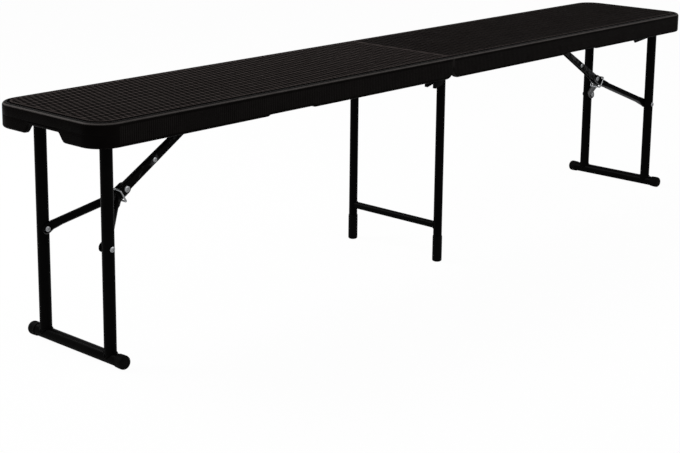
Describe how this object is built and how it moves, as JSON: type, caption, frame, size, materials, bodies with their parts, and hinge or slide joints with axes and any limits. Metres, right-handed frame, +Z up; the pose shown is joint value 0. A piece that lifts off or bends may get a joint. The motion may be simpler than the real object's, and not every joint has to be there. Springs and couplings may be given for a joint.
{
  "type": "folding bench",
  "caption": "Long black bi-fold bench with a woven-look seat, folding tube legs with knee braces, a folding centre leg and a webbing carry handle.",
  "frame": {"origin": "on the floor, under the middle of the bench, at the seam of the two halves", "axes": "+X along the bench towards the end without the centre leg, +Y across the seat towards the side that holds the carry handle, +Z up"},
  "size_m": [1.83, 0.288, 0.435],
  "materials": {
    "seat_plastic": "blow-moulded plastic with a woven relief on top and a low sheen",
    "black_tube": "satin black powder coat on steel tube",
    "black_fittings": "satin black coat on pressed steel",
    "zinc": "bright zinc plate",
    "foot_rubber": "dull moulded rubber",
    "tip_plastic": "moulded plastic boot",
    "webbing": "woven polyester webbing"
  },
  "bodies": {
    "left_half": {"left_seat": "seat_plastic", "left_hinge_leaf_near": "black_fittings", "left_hinge_leaf_far": "black_fittings", "hinge_rod": "black_fittings", "left_leg_bracket_near": "black_fittings", "left_leg_bracket_far": "black_fittings", "left_leg_pivot_rod": "black_fittings", "left_strut_bracket": "black_fittings", "left_strut_pin": "black_fittings", "centre_leg_pin_near": "black_fittings", "centre_leg_bracket_near": "black_fittings", "centre_leg_pin_far": "black_fittings", "centre_leg_bracket_far": "black_fittings", "strap_tab_left": "webbing", "strap_tab_right": "webbing"},
    "right_half": {"right_seat": "seat_plastic", "right_hinge_leaf_near": "black_fittings", "right_hinge_leaf_far": "black_fittings", "right_leg_bracket_near": "black_fittings", "right_leg_bracket_far": "black_fittings", "right_leg_pivot_rod": "black_fittings", "right_strut_bracket": "black_fittings", "right_strut_pin": "black_fittings"},
    "left_leg": {"left_leg_tube_near": "black_tube", "left_foot_cap_near": "foot_rubber", "left_leg_rivet_near": "zinc", "left_leg_tube_far": "black_tube", "left_foot_cap_far": "foot_rubber", "left_leg_rivet_far": "zinc", "left_foot_tube": "black_tube"},
    "left_brace": {"left_brace_arm_near": "black_tube", "left_brace_arm_far": "black_tube"},
    "left_strut": {"left_strut_channel": "black_tube", "left_strut_tongue": "black_tube", "left_knee_rivet": "zinc", "left_tongue_rivet": "zinc"},
    "left_ring": {"left_lock_ring": "zinc"},
    "right_leg": {"right_leg_tube_near": "black_tube", "right_foot_cap_near": "foot_rubber", "right_leg_rivet_near": "zinc", "right_leg_tube_far": "black_tube", "right_foot_cap_far": "foot_rubber", "right_leg_rivet_far": "zinc", "right_foot_tube": "black_tube"},
    "right_brace": {"right_brace_arm_near": "black_tube", "right_brace_arm_far": "black_tube"},
    "right_strut": {"right_strut_channel": "black_tube", "right_strut_tongue": "black_tube", "right_knee_rivet": "zinc", "right_tongue_rivet": "zinc"},
    "right_ring": {"right_lock_ring": "zinc"},
    "centre_leg": {"centre_leg_tube_near": "black_tube", "centre_leg_tip_near": "tip_plastic", "centre_leg_tube_far": "black_tube", "centre_leg_tip_far": "tip_plastic", "centre_leg_crossbar": "black_tube"},
    "handle": {"carry_strap": "webbing"}
  },
  "joints": [
    {"name": "bench_fold", "type": "hinge", "parent": "left_half", "child": "right_half", "pos_m": [0, 0, 0.38985], "axis": [0, 1, 0], "range_deg": [0, 180]},
    {"name": "left_leg_fold", "type": "hinge", "parent": "left_half", "child": "left_leg", "pos_m": [-0.855, 0, 0.407], "axis": [0, -1, 0], "range_deg": [0, 90]},
    {"name": "right_leg_fold", "type": "hinge", "parent": "right_half", "child": "right_leg", "pos_m": [0.855, 0, 0.407], "axis": [0, 1, 0], "range_deg": [0, 90]},
    {"name": "centre_leg_fold", "type": "hinge", "parent": "left_half", "child": "centre_leg", "pos_m": [-0.007, 0, 0.4], "axis": [0, 1, 0], "range_deg": [0, 90]},
    {"name": "left_strut_swing", "type": "hinge", "parent": "left_half", "child": "left_strut", "pos_m": [-0.525, 0, 0.407], "axis": [0, 1, 0], "range_deg": [0, 31.35]},
    {"name": "right_strut_swing", "type": "hinge", "parent": "right_half", "child": "right_strut", "pos_m": [0.525, 0, 0.407], "axis": [0, -1, 0], "range_deg": [0, 31.35]},
    {"name": "left_brace_fold", "type": "hinge", "parent": "left_strut", "child": "left_brace", "pos_m": [-0.74509, 0, 0.27295], "axis": [0, -1, 0], "range_deg": [0, 180]},
    {"name": "right_brace_fold", "type": "hinge", "parent": "right_strut", "child": "right_brace", "pos_m": [0.74509, 0, 0.27295], "axis": [0, 1, 0], "range_deg": [0, 180]},
    {"name": "left_ring_slide", "type": "slide", "parent": "left_strut", "child": "left_ring", "axis": [0.854, 0, 0.5202], "range_m": [0, 0.09]},
    {"name": "right_ring_slide", "type": "slide", "parent": "right_strut", "child": "right_ring", "axis": [-0.854, 0, 0.5202], "range_m": [0, 0.09]},
    {"name": "handle_swing", "type": "hinge", "parent": "left_half", "child": "handle", "pos_m": [-0.467, 0.131, 0.38985], "axis": [1, 0, 0], "range_deg": [0, 90]}
  ],
  "couplings": [
    {"joint": "left_leg_fold", "follows": "bench_fold", "ratio": 0.5},
    {"joint": "right_leg_fold", "follows": "bench_fold", "ratio": 0.5},
    {"joint": "centre_leg_fold", "follows": "bench_fold", "ratio": 0.5},
    {"joint": "handle_swing", "follows": "bench_fold", "ratio": 0.5},
    {"joint": "left_strut_swing", "follows": "bench_fold", "ratio": 0.17414},
    {"joint": "right_strut_swing", "follows": "bench_fold", "ratio": 0.17414},
    {"joint": "left_brace_fold", "follows": "bench_fold", "ratio": 1},
    {"joint": "right_brace_fold", "follows": "bench_fold", "ratio": 1},
    {"joint": "left_ring_slide", "follows": "bench_fold", "m_per_rad": 0.028647},
    {"joint": "right_ring_slide", "follows": "bench_fold", "m_per_rad": 0.028647}
  ]
}
